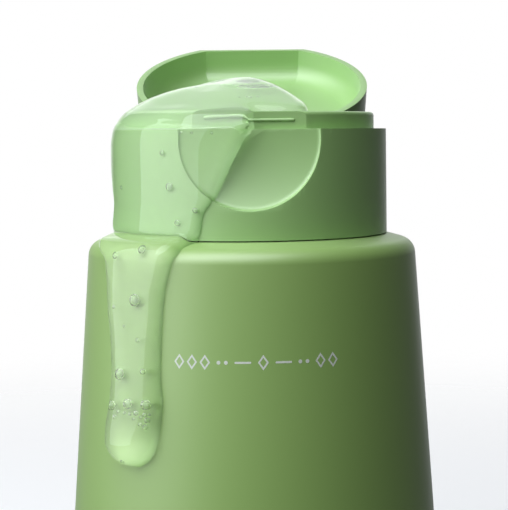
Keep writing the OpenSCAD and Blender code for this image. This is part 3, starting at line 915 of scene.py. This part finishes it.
# How far it goes on the deck by direction, in degrees from the right, counted on over the back to the left
MOUND_EDGE = (
    (-90, 12.4), (-60, 13.5), (-30, 8.6), (0, 7.8), (45, 7.6), (90, 8.6), (135, 11.2),
    (160, 14.4), (200, 14.4),
)
# It keeps this far in from the deck's edge and its front, and goes this far over the closure's side
DECK_IN, FRONT_IN, OVER_SIDE = 0.4, 0.25, 0.12
# Height of what spills over the closure's side and over its front, as shares by share of the way
SPILL_PROFILE = (
    (0, 1), (0.04, 0.99), (0.088, 0.965), (0.218, 0.905), (0.348, 0.855), (0.485, 0.795), (0.6, 0.72),
    (0.715, 0.62), (0.83, 0.48), (0.92, 0.34), (0.965, 0.21), (1, 0.02),
)
FRONT_PROFILE = (
    (0, 1), (0.1, 0.95), (0.3, 0.845), (0.5, 0.7), (0.65, 0.57), (0.75, 0.475), (0.82, 0.42), (0.88, 0.375),
    (0.93, 0.31), (0.97, 0.2), (1, 0.02),
)
# Directions between which it spills, how soon that begins, and where its height has come down again
SPILL_FROM, SPILL_TO, SPILL_RAMP, SPILL_FADE = 166, 273, 8, 335
# Directions over which the side's profile turns into the front's
SIDE_TO, FRONT_FROM = 185, 232
# Width of the rounded turn at the mound's edge on the deck
EDGE_TURN = 0.9


def smooth_step(x):
    x = min(max(x, 0.0), 1.0)
    return x * x * (3 - 2 * x)


def mound_reach(degrees):
    """How far the mound goes from its top: on the deck, over the closure's edge, and how much it spills."""
    top = np.array(MOUND_TOP)
    a = math.radians(degrees)
    along = top @ (math.cos(a), math.sin(a))

    def reach_to(r):
        return math.sqrt(along ** 2 + r ** 2 - top @ top) - along

    turned = degrees - 360 if degrees > MOUND_EDGE[-1][0] else degrees
    deck = min(lookup(MOUND_EDGE, turned), reach_to(DECK_R - DECK_IN))
    if math.sin(a) < 0:
        deck = min(deck, (DECK_FRONT - FRONT_IN + top[1]) / -math.sin(a))
    spill = smooth_step(0.5 + min(degrees - SPILL_FROM, SPILL_TO - degrees) / SPILL_RAMP)
    return deck, reach_to(CAP_R + OVER_SIDE), spill


def mound_height(distance, degrees):
    """Height of the mound at a distance from its top. It keeps its slope up to the deck's front."""
    deck, far, spill = mound_reach(degrees)
    fading = degrees > MOUND_EDGE[-1][0]
    wide = smooth_step((SPILL_FADE - degrees) / (SPILL_FADE - SPILL_TO)) if fading else spill
    u = distance / (deck + (far - deck) * wide)
    rest = MOUND_SEAT + (MOUND_H - MOUND_SEAT) * (1 - min(u, 1) ** MOUND_POWER)
    front = smooth_step((degrees - SIDE_TO) / (FRONT_FROM - SIDE_TO))
    spilled = lookup(SPILL_PROFILE, u) * (1 - front) + lookup(FRONT_PROFILE, u) * front
    height = rest + (MOUND_H * spilled - rest) * wide
    near_edge = min(max(0.0, (distance - deck + EDGE_TURN) / EDGE_TURN), 1.0)
    kept = math.sqrt(1 - near_edge ** 2) * (1 - spill) + spill
    return MOUND_SEAT + (height - MOUND_SEAT) * kept if height > MOUND_SEAT else height


def mound_mesh():
    """Closed mound on the deck, in millimetres over the ledge: points and faces."""
    top = np.array(MOUND_TOP)
    points, faces = [(*MOUND_TOP, MOUND_H)], []
    for ring in range(1, MOUND_RINGS + 1):
        for k in range(MOUND_SPOKES):
            degrees = k * 360 / MOUND_SPOKES
            a = math.radians(degrees)
            deck, far, spill = mound_reach(degrees)
            distance = (deck + (far - deck) * spill) * ring / MOUND_RINGS
            x, y = top + distance * np.array([math.cos(a), math.sin(a)])
            points.append((x, y, mound_height(distance, degrees)))
    points += [(x, y, MOUND_FOOT) for x, y, _ in points[-MOUND_SPOKES:]]
    points.append((*MOUND_TOP, MOUND_FOOT))
    last = len(points) - 1
    for k, after in around(MOUND_SPOKES):
        faces.append((0, 1 + k, 1 + after))
        for ring in range(MOUND_RINGS):
            a = 1 + ring * MOUND_SPOKES
            faces.append((a + k, a + MOUND_SPOKES + k, a + MOUND_SPOKES + after, a + after))
        a = 1 + MOUND_RINGS * MOUND_SPOKES
        faces.append((a + after, a + k, last))
    return np.array(points), faces


# Air bubbles in the run: degrees from the front, height, radius
BUBBLES = (
    (-32.8, -6.61, 0.5), (-21.6, -9.3, 0.32), (-29.1, -10.78, 0.38), (-63.6, -6.85, 0.25),
    (-36.2, -2.63, 0.3),
    (-47.7, -14.59, 0.38), (-36.9, -13.87, 0.5), (-38.2, -19.55, 0.76), (-47.3, -20.55, 0.25),
    (-42.2, -22.66, 0.19), (-36.4, -24.12, 0.25), (-43, -28.26, 0.69), (-34.1, -27.64, 0.33),
    (-44.8, -31.99, 0.6), (-38.5, -31.53, 0.63), (-32.4, -31.4, 0.6), (-43, -33.23, 0.25),
    (-40, -38.06, 0.28),
    (-35.3, -32.43, 0.28), (-33.7, -32.82, 0.2), (-32.6, -32.5, 0.25), (-31.7, -33.08, 0.33),
    (-33.8, -33.63, 0.23), (-32.2, -33.85, 0.3), (-35.9, -33.13, 0.16), (-37.3, -32.6, 0.19),
    (-39.4, -32.6, 0.2), (-41.9, -32.54, 0.18), (-31, -32.44, 0.16), (-27.3, -0.3, 0.16),
    (-22.9, -0.35, 0.16),
    (-14.7, -0.4, 0.17),
)
# Half the depth of the widest bubble, as a share of the gel's thickness
BUBBLE_FILL = 0.41
# Air bubbles in the mound: place and the three radii
MOUND_BUBBLES = (
    ((0.6, -6.2, 4.55), (2.2, 1.5, 0.22)), ((-6.6, -3, 4.2), (0.3, 0.3, 0.1)),
    ((-3.9, -3, 4.6), (0.35, 0.3, 0.1)), ((-0.1, -9, 2.6), (0.35, 0.3, 0.25)),
    ((-1.2, -9, 2.6), (0.16, 0.16, 0.16)), ((0.9, -8.8, 2.6), (0.2, 0.2, 0.2)),
)


def ball(centre, radii, axes):
    """An ellipsoid whose faces look inward, as the gel's surface does around air."""
    form = bmesh.new()
    bmesh.ops.create_icosphere(form, subdivisions=3, radius=1)
    unit = np.array([tuple(v.co) for v in form.verts])
    faces = [tuple(v.index for v in reversed(f.verts)) for f in form.faces]
    form.free()
    points = centre + (unit * radii) @ axes
    normals = -(unit / radii) @ axes
    normals /= np.linalg.norm(normals, axis=1)[:, None]
    return points, faces, normals


def gather(balls):
    """Several balls as one set of points, faces and normals."""
    points, faces, normals = [], [], []
    for more, more_faces, more_normals in balls:
        start = sum(len(p) for p in points)
        points.append(more)
        normals.append(more_normals)
        faces += [tuple(start + i for i in face) for face in more_faces]
    return np.concatenate(points), faces, np.concatenate(normals)


def run_bubbles():
    """The run's bubbles, flattened where the gel is thin, halfway between the wall and the gel's skin."""
    rows = path_stations()
    balls = []
    for degrees, z, radius in BUBBLES:
        wall = np.interp(-z, -rows[:, 1], rows[:, 0])
        layer = lookup(RUN_THICKNESS, z)
        half = min(radius, BUBBLE_FILL * layer)
        a = math.radians(degrees)
        out = np.array([math.sin(a), -math.cos(a), 0])
        side = np.array([math.cos(a), math.sin(a), 0])
        centre = out * (wall + layer / 2) + np.array([0, 0, z])
        balls.append(ball(centre, np.array([radius, half, radius]), np.array([side, out, [0, 0, -1]])))
    return gather(balls)


def mound_bubbles():
    return gather([ball(np.array(place), np.array(radii), np.eye(3)) for place, radii in MOUND_BUBBLES])


# Voxel size and smoothing of the gel's skin, and the height at which run and mound part
VOXEL, SMOOTHINGS = 0.24, 9
SPLIT_Z = 0.05


def gel_skin():
    """Mound and run as one smooth closed mesh, with an edge loop where the two parts meet."""
    run_points, run_faces = run_mesh()
    mound_points, mound_faces = mound_mesh()
    faces = run_faces + [tuple(len(run_points) + i for i in face) for face in mound_faces]
    rough = link_new("gel_rough", mesh_from("gel_rough", np.concatenate([run_points, mound_points]), faces))
    remesh = rough.modifiers.new("remesh", "REMESH")
    remesh.mode = "VOXEL"
    remesh.voxel_size = VOXEL
    remesh.use_smooth_shade = True
    smooth = rough.modifiers.new("smooth", "SMOOTH")
    smooth.factor = 0.5
    smooth.iterations = SMOOTHINGS
    mesh = apply_modifiers(rough)
    bpy.data.objects.remove(rough)
    form = bmesh.new()
    form.from_mesh(mesh)
    everything = form.verts[:] + form.edges[:] + form.faces[:]
    bmesh.ops.bisect_plane(form, geom=everything, plane_co=(0, 0, SPLIT_Z), plane_no=(0, 0, 1))
    form.normal_update()
    form.to_mesh(mesh)
    form.free()
    return mesh


def vectors(items, key):
    """A property with three values, of all the items of a mesh, as rows."""
    flat = np.empty(len(items) * 3)
    items.foreach_get(key, flat)
    return flat.reshape(-1, 3)


def part_of(skin, name, above, bubbles):
    """The gel's skin above or below the split, with the whole skin's normals, and its bubbles, in metres."""
    faces = [tuple(f.vertices) for f in skin.polygons if (f.center.z > SPLIT_Z) == above]
    kept = sorted({i for face in faces for i in face})
    number = {old: new for new, old in enumerate(kept)}
    faces = [tuple(number[i] for i in face) for face in faces]
    skin_faces = len(faces)
    more, more_faces, more_normals = bubbles
    faces += [tuple(len(kept) + i for i in face) for face in more_faces]
    points = np.concatenate([vectors(skin.vertices, "co")[kept], more])
    normals = np.concatenate([vectors(skin.vertex_normals, "vector")[kept], more_normals])
    part = mesh_from(name, (points + (0, 0, LEDGE_Z)) * MM, faces)
    part.polygons.foreach_set("use_smooth", [True] * len(part.polygons))
    part.polygons.foreach_set("material_index", [int(i >= skin_faces) for i in range(len(faces))])
    part.normals_split_custom_set_from_vertices([tuple(n) for n in normals])
    return link_new(name, part)


# How wide and how deep the painted shade along the run's right-hand edge is, by height, and the power with
# which it fades inward
PAINTED_SHADE_WIDTH = ((-39.05, 1.8), (-16, 1.7), (-12, 1.2), (0.7, 1.2))
PAINTED_SHADE_DEPTH = ((-39.05, 0.72), (-16, 0.72), (-12, 1.0), (0.7, 1.0))
PAINTED_SHADE_FALL = 1.5
# Where the thick drop gathers the lamps' light, by height, and how far in from its edge that is full
FOCUS_FROM = ((-39.05, 1.0), (-35, 1.0), (-33.2, 0.0))
FOCUS_INWARD = 1.4


def mark_run(run):
    """Marks the painted shade by how near each point of the run lies to its right-hand edge, and where the
    drop gathers light.
    """
    points = vectors(run.data.vertices, "co") / MM - (0, 0, LEDGE_Z)
    rows = path_stations()
    rows = rows[rows[:, 1] > RUN_END]
    z = points[:, 2]
    along = np.interp(-z, -rows[:, 1], rows[:, 3])
    distance_around = np.interp(-z, -rows[:, 1], rows[:, 0]) * np.arctan2(points[:, 0], -points[:, 1])
    flat = np.column_stack([along, distance_around])
    left, right = (distance_to_line(flat, edge_line(rows, table)) for table in (RUN_LEFT, RUN_RIGHT))
    # painted shade: darker green near the right-hand edge, standing in for the shadow that falls there
    rim = lookup(PAINTED_SHADE_DEPTH, z) * np.clip(1 - right / lookup(PAINTED_SHADE_WIDTH, z), 0, 1) ** PAINTED_SHADE_FALL
    focus = lookup(FOCUS_FROM, z) * np.clip(np.minimum(left, right) / FOCUS_INWARD, 0, 1)
    for name, values in (("rim", rim), ("focus", focus)):
        run.data.attributes.new(name, "FLOAT", "POINT").data.foreach_set("value", values)


def make_gel(gel, thick_gel, air):
    skin = gel_skin()
    run = part_of(skin, "gel_run", False, run_bubbles())
    mound = part_of(skin, "gel_mound", True, mound_bubbles())
    bpy.data.meshes.remove(skin)
    mark_run(run)
    for piece, node, material in ((run, "cleanser_run", gel), (mound, "cleanser_mound", thick_gel)):
        piece.data.materials.append(material)
        piece.data.materials.append(air)
        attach(piece, "bottle_body")
        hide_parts(node)
    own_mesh(mound)


# Print: the plain marks of a row with their widths, and the gaps after them, in millimetres along the body
PRINT_MARKS = (
    ("diamond", 1.25, 0.3), ("diamond", 1.25, 0.3), ("diamond", 1.25, 0.75), ("dot", 0.45, 0.4),
    ("dot", 0.45, 0.75), ("dash", 1.9, 0.75), ("diamond", 1.25, 0.75), ("dash", 1.9, 0.75),
    ("dot", 0.45, 0.4),
    ("dot", 0.45, 0.75), ("diamond", 1.25, 0.3), ("diamond", 1.25, 0.0),
)
# The row's left end, its place over the ledge, the marks' height, how far they stand off, and their lines
PRINT_LEFT, PRINT_Z, PRINT_H = -9.1, -26.3, 1.75
PRINT_OUT, PRINT_LINE = 0.012, 0.24
MARK_STEPS = 32


def mark_outline(kind, width):
    """Outer and inner outline of a mark about its middle. The inner one of a filled mark is a point."""
    turns = np.linspace(0, 2 * np.pi, MARK_STEPS + 1)[:-1]
    circle = np.column_stack([np.cos(turns), np.sin(turns)])
    if kind == "diamond":
        outer = circle / np.abs(circle).sum(1)[:, None] * (width / 2, PRINT_H / 2)
        return outer, outer * (1 - 2 * PRINT_LINE / width)
    height = PRINT_LINE if kind == "dash" else width
    stretch = np.sign(circle[:, :1]) * (np.abs(circle[:, :1]) > 1e-6) * [(width - height) / 2, 0]
    outer = circle * height / 2 + stretch
    return outer, np.zeros_like(outer)


def on_side(x, z):
    """A point just outside the bottle's side, at a distance around it from the front and a height."""
    a = x / side_r(PRINT_Z + LEDGE_Z)
    r = side_r(z) + PRINT_OUT
    return r * math.sin(a), -r * math.cos(a), z


def print_row():
    """Thin printed marks that lie on the bottle's side."""
    points, faces = [], []
    at = PRINT_LEFT
    for kind, width, gap in PRINT_MARKS:
        outer, inner = mark_outline(kind, width)
        start, inside = len(points), len(points) + len(outer)
        for x, y in np.concatenate([outer, inner]):
            points.append(on_side(at + width / 2 + x, LEDGE_Z + PRINT_Z + y))
        faces += [(start + k, start + j, inside + j, inside + k) for k, j in around(len(outer))]
        at += width + gap
    mesh = mesh_from("print_marks", np.array(points) * MM, faces)
    form = bmesh.new()
    form.from_mesh(mesh)
    bmesh.ops.remove_doubles(form, verts=form.verts, dist=1e-7)
    form.to_mesh(mesh)
    form.free()
    return link_new("print_marks", mesh)


def make_print():
    marks = print_row()
    marks.data.materials.append(ink_material())
    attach(marks, "bottle_body")


def main():
    make_camera()
    make_world()
    make_lights()
    make_floor()
    body_plastic = plastic_material("body_plastic", BODY_TONES)
    cap_plastic = plastic_material("closure_plastic", CLOSURE_TONES)
    gel = gel_material("clear_gel", clearness=0.93, lets_through=0.38, edge=0.08)
    thick_gel = gel_material("thick_gel", clearness=0.85, lets_through=0.45, edge=0.2)
    air = gel_material("gel_bubbles", clearness=0.93, lets_through=0.6, edge=0.1)
    make_plastic(body_plastic, cap_plastic)
    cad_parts["cleanser_fill"].material_slots[0].material = gel
    make_gel(gel, thick_gel, air)
    make_print()
    bpy.context.scene.view_settings.view_transform = "Standard"


main()
